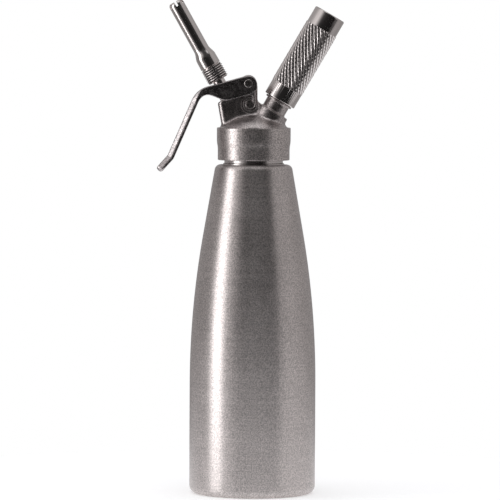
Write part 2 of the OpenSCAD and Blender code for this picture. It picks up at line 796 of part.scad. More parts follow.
module piercing_pin() {
    low = seat_top + run_gap;
    point_len = 1.6;
    hole_r = 0.5;
    color(bright_steel) on_port() difference() {
        union() {
            rod(seat_bore_r - run_gap / 2, low, inlet_top);
            rod(pierce_r, low, pierce_top - point_len);
            translate([0, 0, pierce_top - point_len])
                cylinder(r1 = pierce_r, r2 = 0.15, h = point_len);
        }
        for (x = [-1, 1]) translate([x * 1.75, 0, 0]) rod(hole_r, low - 1, inlet_top + 1);
        rod(0.9, low - 1, low + 1);
        translate([0, 0, low]) cube([3.6, 0.9, 1.4], center = true);
    }
}

module charger_seal() {
    color(rubber) on_port()
        ring(recess_r - 0.03, 2.5, inlet_top + 0.02, inlet_top + charger_seal_t);
}

// Gas charger: a closed steel bulb, its seal disc pierced by the pin
module charger() {
    shoulder_z = charger_low + charger_neck_len;
    swell = charger_r - charger_neck_r;
    inner_r = charger_r - charger_wall;
    neck_inner_r = charger_neck_r - charger_wall;
    shoulder_len = 2.4 * swell;
    lift = 0.7 * charger_wall;
    disc_t = 0.5;
    hole_r = pierce_r + 0.15;
    top_centre = charger_high - charger_r;
    outer = concat([[charger_neck_r - 0.4, charger_low], [charger_neck_r, charger_low + 0.4]],
        [for (i = [0:12]) [charger_neck_r + swell * (1 - cos(15 * i)) / 2,
            shoulder_z + shoulder_len * i / 12]],
        arc(0, top_centre, charger_r, 0, 90, 12));
    inner = concat(arc(0, top_centre, inner_r, 90, 0, 12),
        [for (i = [12:-1:0]) [neck_inner_r + swell * (1 - cos(15 * i)) / 2,
            shoulder_z + lift + shoulder_len * i / 12]],
        [[neck_inner_r, charger_low + disc_t], [hole_r, charger_low + disc_t],
            [hole_r, charger_low]]);
    color(bright_steel) on_port() rotate_extrude() polygon(concat(outer, inner));
}

// Plastic sleeve that centres the charger in its holder
module holder_sleeve() {
    color(rubber) on_port() ring(holder_bore_r - 0.04, charger_r + 0.15, sleeve_low,
        charger_high - charger_r - 2);
}

module charger_holder() {
    bevel = 0.7;
    knurl_r = holder_r + knurl_rise;
    knurl_low = holder_start + holder_low_band;
    knurl_high = holder_top - holder_top_band;
    color(steel) on_port() difference() {
        rotate_extrude() polygon([[0, holder_start], [holder_r - bevel, holder_start],
            [holder_r, holder_start + bevel], [holder_r, knurl_low], [knurl_r, knurl_low + 0.3],
            [knurl_r, knurl_high - 0.3], [holder_r, knurl_high], [holder_r, holder_top - bevel],
            [holder_r - bevel, holder_top], [0, holder_top]]);
        rod(port_thread_r, holder_start - 1, sleeve_low);
        rod(holder_bore_r, sleeve_low - 0.5, holder_top - holder_roof);
    }
}

bottle_shell();
bottle_base();
neck_ring();
head_gasket();
head_body();
lever();
lever_pin();
pin_clip();
guide_bush();
valve_spring();
spring_cup();
valve_spindle();
spindle_seal();
spindle_ring();
nozzle_adapter();
tip_seal();
decorator_tip();
inlet_valve();
inlet_seal();
check_spring();
check_ball();
ball_seat();
piercing_pin();
charger_seal();
charger();
holder_sleeve();
charger_holder();
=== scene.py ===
"""Looks of the whipped cream dispenser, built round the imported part.

Lengths are in millimetres until a mesh is made. The frame is the part's own:
+Z up, nozzle and lever towards -X, charger holder towards +X.
"""

import json
import math
from itertools import product

import bmesh
import bpy
import numpy as np
from mathutils import Matrix, Vector


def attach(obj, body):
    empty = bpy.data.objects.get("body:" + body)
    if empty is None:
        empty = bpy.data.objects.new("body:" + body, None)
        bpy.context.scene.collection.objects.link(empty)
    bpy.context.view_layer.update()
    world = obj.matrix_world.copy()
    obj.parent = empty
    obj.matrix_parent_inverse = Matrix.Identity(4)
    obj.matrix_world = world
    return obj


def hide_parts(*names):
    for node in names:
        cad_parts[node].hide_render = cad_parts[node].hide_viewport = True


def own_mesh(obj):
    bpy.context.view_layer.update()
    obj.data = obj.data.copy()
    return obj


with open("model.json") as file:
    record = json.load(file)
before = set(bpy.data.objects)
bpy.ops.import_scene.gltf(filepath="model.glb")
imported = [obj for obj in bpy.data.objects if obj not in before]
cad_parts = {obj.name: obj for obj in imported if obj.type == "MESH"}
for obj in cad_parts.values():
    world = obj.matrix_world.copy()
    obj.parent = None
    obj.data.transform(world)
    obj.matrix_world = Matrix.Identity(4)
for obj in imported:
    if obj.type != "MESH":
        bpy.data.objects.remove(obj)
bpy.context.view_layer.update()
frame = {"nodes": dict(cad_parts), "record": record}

MM = 0.001

# Heights: the bottle's rim, the cap's lower edge and top, the sealing face inside the
# cap, and the point where the axes of valve and port cross
BOTTLE_H = 252.0
CAP_Z = BOTTLE_H + 3.4
CAP_TOP_Z = CAP_Z + 24.8
RECESS_Z = CAP_Z + 18.2
CROSS_Z = CAP_Z + 12.3

# Degrees from upright, and the lever's pin as seen across and along the valve's axis
VALVE_TILT = 29.25
PORT_TILT = 30.2
LEVER_SLOPE = 15.7
PIVOT_OFF = 18.9
PIVOT_UP = 42.5


def leaning(degrees, x=0.0, z=CROSS_Z):
    """Frame at a point of the plane Y = 0 whose Z axis leans from +Z towards +X."""
    turn = Matrix.Rotation(math.radians(degrees), 4, "Y")
    return Matrix.Translation((x, 0, z)) @ turn


UPRIGHT = Matrix.Identity(4)
VALVE = leaning(-VALVE_TILT)
PORT = leaning(PORT_TILT)
PIN = (VALVE @ Vector((PIVOT_OFF, 0, PIVOT_UP))).xz
LEVER = leaning(-LEVER_SLOPE, *PIN)


# ---------------------------------------------------------------- outlines


def arc(cx, cy, radius, start, end, steps):
    """Points on an arc round a centre, angles in degrees."""
    angles = np.radians(np.linspace(start, end, steps + 1))
    return [(cx + radius * math.cos(a), cy + radius * math.sin(a)) for a in angles]


def bowed(start, corner, end, steps):
    """Points of a curve that leaves start and reaches end along the lines to a corner."""
    points = []
    for step in range(steps + 1):
        t = step / steps
        points.append(tuple(start.lerp(corner, t).lerp(corner.lerp(end, t), t)))
    return points


def eased(corners, steps=4):
    """Closed outline from (x, y, rounding) corners, each rounded by its own amount."""
    points = []
    for i, (x, y, rounding) in enumerate(corners):
        if not rounding:
            points.append((x, y))
            continue
        here = Vector((x, y))
        before = Vector(corners[i - 1][:2]) - here
        after = Vector(corners[(i + 1) % len(corners)][:2]) - here
        start = here + before.normalized() * min(rounding, 0.49 * before.length)
        end = here + after.normalized() * min(rounding, 0.49 * after.length)
        points += bowed(start, here, end, steps)
    return points


# ------------------------------------------------------------------ meshes

EDGE_ANGLE = 30


def make(name, points, faces, place=UPRIGHT, uv=None, crease=None):
    """Mesh object from points in millimetres in a local frame."""
    mesh = bpy.data.meshes.new(name)
    mesh.from_pydata(np.asarray(points, float).tolist(), [], faces)
    if uv is not None:
        layer = mesh.uv_layers.new(name="UVMap")
        layer.data.foreach_set("uv", np.asarray(uv, np.float32).ravel())
    mesh.transform(Matrix.Scale(MM, 4) @ place)
    work = bmesh.new()
    work.from_mesh(mesh)
    bmesh.ops.remove_doubles(work, verts=work.verts, dist=1e-7)
    bmesh.ops.recalc_face_normals(work, faces=work.faces)
    work.to_mesh(mesh)
    work.free()
    mesh.shade_smooth()
    if crease is not None:
        mesh.set_sharp_from_angle(angle=math.radians(crease))
    item = bpy.data.objects.new(name, mesh)
    bpy.context.scene.collection.objects.link(item)
    return item


def turned(name, outline, place=UPRIGHT, sides=128, shape=None, crease=EDGE_ANGLE, closed=True):
    """Piece turned on a lathe from an outline of (radius, height) points.

    shape(radius, height, angle) may change the radius, as a thread or knurl does.
    UV is in metres: U along the outline, V round the piece.
    """
    outline = np.asarray(outline, float)
    rows = len(outline)
    angle = np.linspace(0, 2 * math.pi, sides, endpoint=False) + math.pi / 2
    radius = np.repeat(outline[:, :1], sides, 1)
    height = np.repeat(outline[:, 1:], sides, 1)
    if shape:
        radius = shape(radius, height, angle[None, :])
    points = np.stack([radius * np.cos(angle), radius * np.sin(angle), height], -1)
    spans = rows if closed else rows - 1
    i, j = np.meshgrid(np.arange(spans), np.arange(sides), indexing="ij")
    i, j = i.ravel(), j.ravel()
    i2, j2 = (i + 1) % rows, (j + 1) % sides
    faces = np.stack([i * sides + j, i2 * sides + j, i2 * sides + j2, i * sides + j2], -1)
    steps = np.hypot(*np.diff(np.vstack([outline, outline[:1]]), axis=0).T)
    along = np.concatenate([[0], np.cumsum(steps)]) * MM
    turn = outline[:, 0].max() * MM * 2 * math.pi / sides
    u = np.stack([along[i], along[i + 1], along[i + 1], along[i]], -1)
    v = np.stack([j, j, j + 1, j + 1], -1) * turn
    uv = np.stack([u, v], -1)
    return make(name, points.reshape(-1, 3), faces.tolist(), place, uv, crease)


def threaded(pitch, depth, low, high, flat=0.55):
    """Shape for turned(): a helical thread between two heights.

    It is cut where the outline is widest, and runs out at both ends. flat is the width
    of the ridges' flat tops, from 0 for sharp ones.
    """
    run_out = 0.5

    def shape(radius, height, angle):
        part = np.mod(height / pitch - angle / (2 * math.pi), 1)
        valley = np.clip(np.abs(part - 0.5) * (2 + 2 * flat) - flat, 0, 1)
        fade = np.clip(np.minimum(height - low, high - height) / run_out, 0, 1)
        cut = depth * (valley * fade + (1 - fade))
        between = (height > low - 0.01) & (height < high + 0.01)
        widest = radius > 0.999 * radius.max()
        return np.where(between & widest, radius - cut, radius)

    return shape


def wire(name, points, radius, place):
    """Round wire along points, its ends closed."""
    sides = 10
    points = np.asarray(points, float)
    along = np.gradient(points, axis=0)
    along /= np.linalg.norm(along, axis=1)[:, None]
    side = np.cross(along, [0, 0, 1])
    side /= np.linalg.norm(side, axis=1)[:, None]
    up = np.cross(side, along)
    angle = np.linspace(0, 2 * math.pi, sides, endpoint=False)[None, :, None]
    rings = points[:, None] + radius * (
        np.cos(angle) * side[:, None] + np.sin(angle) * up[:, None])
    faces = []
    for i in range(len(points) - 1):
        for k in range(sides):
            a, b = i * sides + k, i * sides + (k + 1) % sides
            faces.append((a, a + sides, b + sides, b))
    last = (len(points) - 1) * sides
    faces += [tuple(range(sides)), tuple(range(last + sides - 1, last - 1, -1))]
    return make(name, rings.reshape(-1, 3), faces, place, crease=50)


def coil(name, radius, low, high, turns, wire_r, place):
    """Compression spring with closed ends."""
    closed_turns = 0.8
    t = np.linspace(0, 1, int(turns * 28) + 1)
    middle = np.clip((t * turns - closed_turns) / (turns - 2 * closed_turns), 0, 1)
    pitch_in = 2.1 * wire_r
    rise = low + pitch_in * np.clip(t * turns, 0, closed_turns)
    rise += (high - low - 2 * closed_turns * pitch_in) * middle
    rise += pitch_in * np.clip(t * turns - (turns - closed_turns), 0, closed_turns)
    angle = 2 * math.pi * turns * t
    points = np.stack([radius * np.cos(angle), radius * np.sin(angle), rise], -1)
    return wire(name, points, wire_r, place)


def cut_by(item, cutters):
    """Cuts closed meshes out of a piece."""
    for cutter in cutters:
        modifier = item.modifiers.new("cut", "BOOLEAN")
        modifier.operation = "DIFFERENCE"
        modifier.solver = "EXACT"
        modifier.object = cutter
    graph = bpy.context.evaluated_depsgraph_get()
    mesh = bpy.data.meshes.new_from_object(item.evaluated_get(graph))
    item.modifiers.clear()
    item.data = mesh
    for cutter in cutters:
        bpy.data.objects.remove(cutter)
    mesh.shade_smooth()
    mesh.set_sharp_from_angle(angle=math.radians(EDGE_ANGLE))


# --------------------------------------------------------- distance fields


def grid(low, high, step):
    """Sparse coordinate arrays of a grid."""
    axes = [np.arange(a, b + step, step, dtype=np.float32) for a, b in zip(low, high)]
    return np.meshgrid(*axes, indexing="ij", sparse=True)


def join(a, b, ease):
    """Union of two fields with a fillet."""
    h = np.clip(0.5 + 0.5 * (b - a) / ease, 0, 1)
    return b + (a - b) * h - ease * h * (1 - h)


def keep(a, b, ease):
    """Intersection of two fields with a rounded edge."""
    return -join(-a, -b, ease)


def within(a, b, radius):
    """Field of what lies inside both a and b, its edge rounded by a radius."""
    qa, qb = a + radius, b + radius
    outside = np.hypot(np.maximum(qa, 0), np.maximum(qb, 0))
    return outside + np.minimum(np.maximum(qa, qb), 0) - radius


def rounded_box(x, y, half_x, half_y, radius):
    """Field of a rectangle round the origin, its corners rounded."""
    return within(np.abs(x) - half_x, np.abs(y) - half_y, radius)


def polygon_field(points, x, y):
    """Signed distance to a closed polygon, negative inside."""
    best = np.full(np.broadcast(x, y).shape, 1e9, np.float32)
    inside = np.zeros(best.shape, bool)
    for (ax, ay), (bx, by) in zip(points, points[1:] + points[:1]):
        ex, ey = bx - ax, by - ay
        length = ex * ex + ey * ey
        if length < 1e-12:
            continue
        t = np.clip(((x - ax) * ex + (y - ay) * ey) / length, 0, 1)
        best = np.minimum(best, np.hypot(x - ax - t * ex, y - ay - t * ey))
        if ay != by:
            spans = (ay > y) != (by > y)
            inside ^= spans & (x < ex * (y - ay) / ey + ax)
    return np.where(inside, -best, best)


def sampled(field, points):
    """Field at points given in cells, by blending the eight corners round each."""
    top = np.array(field.shape) - 2
    cell = np.clip(np.floor(points).astype(int), 0, top)
    part = points - cell
    value = 0
    for corner in product((0, 1), repeat=3):
        weight = np.prod(np.where(corner, part, 1 - part), axis=1)
        value = value + weight * field[tuple((cell + corner).T)]
    return value


def skin(name, field, low, step, place=UPRIGHT):
    """Mesh of a field's zero level: one point in each crossed cell, moved onto the surface."""
    inside = field < 0
    size = np.array(field.shape) - 1
    corners = list(product((0, 1), repeat=3))
    views = [inside[tuple(slice(c, c + n) for c, n in zip(corner, size))] for corner in corners]
    crossed = np.logical_or.reduce(views) & ~np.logical_and.reduce(views)
    cells = np.argwhere(crossed)

    # A first point: the middle of the places where the cell's edges cross the surface
    values = {c: field[tuple((cells + c).T)] for c in corners}
    total = np.zeros(cells.shape)
    count = np.zeros(len(cells))
    for a, b in product(corners, corners):
        if sum(b) - sum(a) != 1 or any(p > q for p, q in zip(a, b)):
            continue
        va, vb = values[a], values[b]
        hit = (va < 0) != (vb < 0)
        t = np.where(hit, va / np.where(hit, va - vb, 1), 0)
        total += hit[:, None] * (np.array(a) + t[:, None] * (np.array(b) - a))
        count += hit
    points = cells + total / count[:, None]

    # Two steps down the field's slope, each less than half a cell
    for _ in range(2):
        slopes = [sampled(field, points + e) - sampled(field, points - e) for e in 0.5 * np.eye(3)]
        slope = np.stack(slopes, -1)
        steep = np.maximum((slope**2).sum(1), 0.3 * step * step)
        move = (sampled(field, points) / steep)[:, None] * slope
        points = points - np.clip(move, -0.4, 0.4)

    # A face for each grid edge that crosses the surface, from the four cells round it
    number = np.full(crossed.shape, -1)
    number[tuple(cells.T)] = np.arange(len(cells))
    faces = []
    for axis in range(3):
        u, v = (axis + 1) % 3, (axis + 2) % 3
        first = [slice(1, -1)] * 3
        first[axis] = slice(0, -1)
        second = list(first)
        second[axis] = slice(1, None)
        at = np.argwhere(inside[tuple(first)] != inside[tuple(second)])
        at[:, u] += 1
        at[:, v] += 1
        ring = []
        for du, dv in ((-1, -1), (0, -1), (0, 0), (-1, 0)):
            cell = at.copy()
            cell[:, u] += du
            cell[:, v] += dv
            ring.append(number[tuple(cell.T)])
        faces.append(np.stack(ring, -1))
    return make(name, np.array(low) + points * step, np.concatenate(faces).tolist(), place)


# --------------------------------------------------------------- materials


def new_material(name):
    """Material with nodes: the material, its tree and its default shader."""
    material = bpy.data.materials.new(name)
    material.use_nodes = True
    return material, material.node_tree, material.node_tree.nodes["Principled BSDF"]


def node(tree, kind, inputs=(), **settings):
    """New node, each of its inputs linked to a socket or set to a value."""
    made = tree.nodes.new(kind)
    for key, value in settings.items():
        setattr(made, key, value)
    for key, value in dict(inputs).items():
        if isinstance(value, bpy.types.NodeSocket):
            tree.links.new(value, made.inputs[key])
        else:
            made.inputs[key].default_value = value
    return made


def noise(tree, vector, scale, detail, roughness):
    inputs = {"Vector": vector, "Scale": scale, "Detail": detail, "Roughness": roughness}
    return node(tree, "ShaderNodeTexNoise", inputs).outputs["Fac"]


def mapped(tree, value, low, high, to_low=0.0, to_high=1.0):
    """Range from low to high, mapped to another."""
    inputs = {"Value": value, "From Min": low, "From Max": high}
    inputs |= {"To Min": to_low, "To Max": to_high}
    return node(tree, "ShaderNodeMapRange", inputs).outputs[0]


def bump(tree, height, rise, below):
    """Normal of a bump of a rise in metres, laid over the bump below if there is one."""
    inputs = {"Height": height, "Distance": rise, "Strength": 1.0}
    if below is not None:
        inputs["Normal"] = below
    return node(tree, "ShaderNodeBump", inputs).outputs[0]


def maths(tree, operation, a, b):
    return node(tree, "ShaderNodeMath", {0: a, 1: b}, operation=operation).outputs[0]


FINE_RANGE = (0.35, 0.65)  # of the fine noise, from pit to face


def finish_of(
        name, color, metallic=1.0, specular=0.5, roughness=0.35, spread=0.06,
        tone=0.08, tone_scale=60.0, speckle=0.0, pits=0.0, pit_scale=900.0,
        grain=(), around=False, brushed=0.0):
    """Material with mottled roughness and tone, grain, fine pits and speckles.

    spread, tone and speckle are how far roughness, tone and the speckles' tone vary, and
    pits is how deep the pits are, in metres. grain is a list of (scale across, scale
    along, height in metres) for brush or turning lines. around takes them from the UV
    map, so they run round the piece, and brushed is how much the gloss is drawn out
    across them.
    """
    material, tree, shader = new_material(name)
    place = node(tree, "ShaderNodeTexCoord").outputs
    mottle = noise(tree, place["Object"], tone_scale, 4.0, 0.6)
    fine = noise(tree, place["Object"], pit_scale, 2.0, 0.5)
    normal, mixed = None, mottle
    for across, along, rise in grain:
        inputs = {"Vector": place["UV" if around else "Object"], "Scale": (across, along, along)}
        scaled = node(tree, "ShaderNodeMapping", inputs).outputs[0]
        lines = noise(tree, scaled, 1.0, 3.0, 0.65)
        normal = bump(tree, lines, rise, normal)
    if grain:
        mixed = node(tree, "ShaderNodeMix", {0: 0.6, 2: mottle, 3: lines}).outputs[0]
    if pits:
        normal = bump(tree, mapped(tree, fine, *FINE_RANGE), pits, normal)
    if normal is not None:
        tree.links.new(normal, shader.inputs["Normal"])

    rough = mapped(tree, mixed, 0.3, 0.7, roughness - spread, roughness + spread)
    tree.links.new(rough, shader.inputs["Roughness"])
    shade = mapped(tree, mixed, 0.25, 0.75, 1 - tone, 1 + tone)
    if speckle:
        spots = mapped(tree, fine, *FINE_RANGE, 1 - speckle, 1 + speckle)
        shade = maths(tree, "MULTIPLY", shade, spots)
    tint = node(tree, "ShaderNodeVectorMath", {0: color, "Scale": shade}, operation="SCALE")
    tree.links.new(tint.outputs[0], shader.inputs["Base Color"])
    shader.inputs["Metallic"].default_value = metallic
    shader.inputs["Specular IOR Level"].default_value = specular
    if brushed:
        shader.inputs["Anisotropic"].default_value = brushed
        line = node(tree, "ShaderNodeTangent", direction_type="UV_MAP", uv_map="UVMap")
        tree.links.new(line.outputs[0], shader.inputs["Tangent"])
    return material


# Looks of the record's slots, and of the pieces that depart from their slot's look:
# blasted and thread steel, and the painted shade of the dark sleeves in the grooves
LOOKS = {
    "satin_steel": dict(
        color=(0.60, 0.555, 0.545), roughness=0.4, tone=0.16, tone_scale=35.0,
        speckle=0.3, pits=4e-6, pit_scale=1100.0,
        grain=[(2600.0, 12.0, 8e-6), (700.0, 5.0, 1.2e-5)], around=True, brushed=0.85),
    "blasted_steel": dict(
        color=(0.56, 0.515, 0.505), roughness=0.42, tone=0.06,
        speckle=0.42, pits=1.5e-5, pit_scale=1150.0,
        grain=[(1500.0, 400.0, 1.2e-5)], around=True, brushed=0.7),
    "cast_steel": dict(
        color=(0.5, 0.46, 0.455), roughness=0.33, spread=0.07, tone=0.1, tone_scale=110.0,
        speckle=0.45, pits=2.2e-5, pit_scale=1150.0),
    "polished_steel": dict(
        color=(0.66, 0.62, 0.61), roughness=0.16, spread=0.05, tone=0.04, tone_scale=90.0,
        grain=[(4200.0, 30.0, 1.5e-6)], around=True, brushed=0.5),
    "machined_steel": dict(
        color=(0.62, 0.58, 0.57), roughness=0.24, tone=0.06, tone_scale=160.0,
        pits=4e-6, pit_scale=2600.0),
    "lever_steel": dict(
        color=(0.45, 0.42, 0.42), roughness=0.28, spread=0.08, tone=0.12, tone_scale=220.0,
        speckle=0.4, pits=2.0e-5, pit_scale=1100.0),
    "thread_steel": dict(
        color=(0.8, 0.76, 0.75), roughness=0.12, spread=0.04, tone=0.04, tone_scale=200.0,
        pits=2e-6, pit_scale=2600.0),
    # Painted shade: near-black look for the sleeves under the crests, standing in for shade in the
    # grooves
    "painted_groove_shade": dict(
        color=(0.05, 0.047, 0.047), metallic=0.5, specular=0.2, roughness=0.5, spread=0.1,
        tone=0.2, tone_scale=200.0, pits=1e-5, pit_scale=1800.0),
    "spring_steel": dict(
        color=(0.5, 0.5, 0.51), roughness=0.3, spread=0.05, tone=0.06, tone_scale=200.0,
        pits=3e-6, pit_scale=3000.0),
    "charger_steel": dict(
        color=(0.66, 0.66, 0.68), roughness=0.3, tone=0.06, tone_scale=120.0,
        pits=6e-6, pit_scale=1800.0),
    "black_rubber": dict(
        color=(0.03, 0.03, 0.032), metallic=0.0, specular=0.4, roughness=0.62, spread=0.08,
        tone=0.15, tone_scale=200.0, pits=1.5e-5, pit_scale=2200.0),
    "red_silicone": dict(
        color=(0.5, 0.07, 0.05), metallic=0.0, specular=0.4, roughness=0.5, spread=0.08,
        tone=0.1, tone_scale=180.0, pits=1e-5, pit_scale=2000.0),
    "white_plastic": dict(
        color=(0.78, 0.78, 0.75), metallic=0.0, roughness=0.42, tone=0.03, tone_scale=160.0,
        pits=6e-6, pit_scale=2400.0),
    "black_plastic": dict(
        color=(0.04, 0.04, 0.043), metallic=0.0, roughness=0.45, tone=0.1, tone_scale=160.0,
        pits=8e-6, pit_scale=2400.0),
}
finishes = {name: finish_of(name, **look) for name, look in LOOKS.items()}

# The solids have no UV map, so those of brushed and polished steel look machined
for entry in frame["record"]["subparts"]:
    slot = entry["material_slot"]
    if slot in ("satin_steel", "polished_steel"):
        slot = "machined_steel"
    mesh = frame["nodes"][entry["node"]].data
    mesh.materials.clear()
    mesh.materials.append(finishes[slot])


def dress(piece, body, slot, covers, finish=None):
    """Gives a piece its body and the finish of its slot, or the one named instead, and hides the
    solid that it stands for.
    """
    piece.data.materials.clear()
    piece.data.materials.append(finishes[finish or slot])
    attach(piece, body)
    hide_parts(covers)


def groove_shade_sleeve(name, body, covers, inner, outer, low, high, place):
    """Dark sleeve just under the crests of a thread or knurl: painted shade that darkens its
    grooves.
    """
    outline = [(inner, low), (outer, low), (outer, high), (inner, high)]
    dress(turned(name, outline, place), body, "polished_steel", covers, "painted_groove_shade")


# ------------------------------------------------------------------ bottle

# The outside goes up straight, then in one long bend, then in a taper to the shoulder
BOTTLE_R = 48.2
STRAIGHT_H = 84.0
BEND_H = 114.0
SHOULDER_R = 29.1
SHOULDER_ROUND = 4.5
SHEET = 1.2
MOUTH_R = 23.35

# The sheet turns in under the foot to a ring, with the pressed disc inside the ring
FOOT_ROUND = 6.0
FOOT_R = BOTTLE_R - FOOT_ROUND
BASE_R = FOOT_R - 4
BASE_LOW = 3
BASE_HIGH = 4.2
BASE_RIM_R = BASE_R - 0.1
BASE_RIM_LOW = 0.5


def half_angle_tan():
    """Tangent of half the taper's angle, as the part's source finds it."""
    taper_h = BOTTLE_H - STRAIGHT_H - BEND_H
    t = 0.0
    for _ in range(8):
        t = (BOTTLE_R - SHOULDER_R) / (BEND_H + 2 * taper_h / (1 - t * t))
    return t


TAPER = 2 * math.atan(half_angle_tan())
BEND_R = BEND_H / math.sin(TAPER)
SHOULDER_Z = BOTTLE_H - SHOULDER_ROUND


def flank(z):
    """Outer radius of the bottle above its foot: straight, bent, then tapered."""
    if z <= STRAIGHT_H:
        return BOTTLE_R
    if z <= STRAIGHT_H + BEND_H:
        return BOTTLE_R - BEND_R + math.sqrt(BEND_R**2 - (z - STRAIGHT_H) ** 2)
    return SHOULDER_R + (BOTTLE_H - z) * math.tan(TAPER)


# Where the taper ends, and the radius at which the shoulder's rounding has its centre
SIDE_Z = SHOULDER_Z + SHOULDER_ROUND * math.sin(TAPER)
SHOULDER_X = flank(SIDE_Z) - SHOULDER_ROUND * math.cos(TAPER)


def bottle_outline():
    """Section of the drawn bottle: up the outside, over the shoulder and down the inside."""
    taper = math.degrees(TAPER)
    straight = np.linspace(FOOT_ROUND, STRAIGHT_H, 12)
    rest = np.linspace(STRAIGHT_H, SIDE_Z, 60)[1:-1]
    heights = np.concatenate([straight, rest])
    outer = arc(FOOT_R, FOOT_ROUND, FOOT_ROUND, -90, 0, 10)[:-1]
    outer += [(flank(z), z) for z in heights]
    outer += arc(SHOULDER_X, SHOULDER_Z, SHOULDER_ROUND, taper, 90, 12)
    inner = arc(SHOULDER_X, SHOULDER_Z, SHOULDER_ROUND - SHEET, 90, taper, 8)
    inner += [(flank(z) - SHEET, z) for z in heights[::-6]]
    inner += arc(FOOT_R, FOOT_ROUND, FOOT_ROUND - SHEET, 0, -90, 6)
    foot = [(BASE_R + 0.3, 0.0), (BASE_R + 1, 0.0)]
    mouth = [(MOUTH_R + 0.4, BOTTLE_H), (23.4, BOTTLE_H - 0.35), (MOUTH_R, BOTTLE_H - SHEET)]
    return foot + outer + mouth + inner + [(BASE_R, SHEET), (BASE_R, 0.3)]


bottle = turned("bottle_shell_drawn", bottle_outline(), sides=256)
dress(bottle, "bottle", "satin_steel", "bottle_shell")

base = turned("bottle_base_pressed", eased([
    (0, BASE_LOW, 0), (BASE_R - 2, BASE_LOW, 0.6), (BASE_R - 1.25, BASE_RIM_LOW, 0.3),
    (BASE_RIM_R, BASE_RIM_LOW, 0.2), (BASE_RIM_R, BASE_HIGH, 0.6), (0, BASE_HIGH, 0)]),
    sides=192)
dress(base, "bottle", "satin_steel", "bottle_base")

# The neck ring has a flange under the shoulder, a waist at the rim and the thread above
NECK_R = 23.3
NECK_BORE_R = 20.6
NECK_WAIST_R = 22.4
NECK_TOP = RECESS_Z - 2.5
NECK_THREAD_LOW = CAP_Z + 1.1
FLANGE_Z = BOTTLE_H - SHEET - 0.05
FLANGE_LOW = FLANGE_Z - 1.45
FLANGE_R = SHOULDER_X + 0.2
neck = turned(
    "neck_thread",
    eased([(NECK_BORE_R, FLANGE_LOW, 0), (FLANGE_R, FLANGE_LOW, 0.3),
           (FLANGE_R, FLANGE_Z, 0.3), (NECK_R, FLANGE_Z, 0)])
    + [(NECK_R, BOTTLE_H + 0.8), (22.6, BOTTLE_H + 1.1), (NECK_WAIST_R, BOTTLE_H + 1.3),
       (NECK_WAIST_R, CAP_Z + 1.05)]
    + [(NECK_R, z) for z in np.arange(NECK_THREAD_LOW, NECK_TOP, 0.15)]
    + [(22.2, NECK_TOP), (21.8, NECK_TOP), (20.9, NECK_TOP), (NECK_BORE_R, NECK_TOP - 0.3)],
    shape=threaded(pitch=3.0, depth=0.9, low=NECK_THREAD_LOW, high=NECK_TOP - 0.1))
dress(neck, "bottle", "machined_steel", "neck_ring")

# -------------------------------------------------------------------- head

# The turned cap has two bands with a soft step between them
CAP_BORE_R = 23.35
CAP_LOW_R = 27.45
CAP_HIGH_R = 28.2
ROOF_R = 24.4
ROOF_LAP = 0.4  # the casting's roof reaches this far into the turned cap
cap = turned("head_cap_turned", eased([
    (CAP_BORE_R, CAP_Z, 0.3), (CAP_LOW_R, CAP_Z, 0.8), (CAP_LOW_R, CAP_Z + 10, 3.2),
    (CAP_HIGH_R, CAP_Z + 13.4, 3.2), (CAP_HIGH_R, CAP_TOP_Z, 0.8),
    (ROOF_R - ROOF_LAP, CAP_TOP_Z, 0), (ROOF_R - ROOF_LAP, RECESS_Z + 0.1, 0),
    (CAP_BORE_R, RECESS_Z + 0.1, 0)], 8), sides=256)
dress(cap, "head", "satin_steel", "head_body", "blasted_steel")

# The dome over the cap: its radius and height, and the radius of its sphere
DOME_R = 26.0
DOME_H = 10.6
DOME_SPHERE = (DOME_R**2 + DOME_H**2) / (2 * DOME_H)
CAST_FILLET = 3.2
DOME_FILLET = 2.4

# The tower: a leaning left column, an upright right one, and the ear round the pin
TOWER_HALF = 8.5
TOWER_TOP = 40.8
TOWER_CORNER = 4
LEFT_LEAN = math.radians(10)
LEFT_EDGE = -24.6
LEFT_HALF = 11
RIGHT_X = -6.65
RIGHT_HALF = 9.35
EAR_R = 6.3

# The round pocket in the tower's side, with two raised rings and an open upper corner
POCKET_X, POCKET_Z = -2.6, CAP_TOP_Z + DOME_H + 7.2
POCKET_R = 7
POCKET_DEPTH = 1.15
RING_RADII = (5.35, 3.6)
RING_DEPTH = 0.55
RING_HALF = 0.42
OPEN_SLOPE = math.radians(43)

# The boss, the port on it and the port's collar, just under the holder
BOSS_R = 12.6
BOSS_TOP = 29.3
PORT_R = 9.3
COLLAR_R = 10.8
COLLAR_HALF = 0.75
HOLDER_LOW = 38.7

# Bores: the spring's, the spindle's, the chamber under it, the inlet valve's, the gas way
# and the pin's
SPRING_BORE_R = 6.4
SPINDLE_BORE_R = 3.66
CHAMBER_R = 7.2
CHAMBER_TOP = 14
INLET_BORE_R = 5.46
BORE_FLOOR = 24
GAS_WAY_R = 1.4
PIN_BORE_R = 2.02

HEAD_LOW = (-28.9, -25.5, RECESS_Z - 1.1)
HEAD_HIGH = (32.5, 25.5, PIN[1] + EAR_R + 1)
HEAD_STEP = 0.33


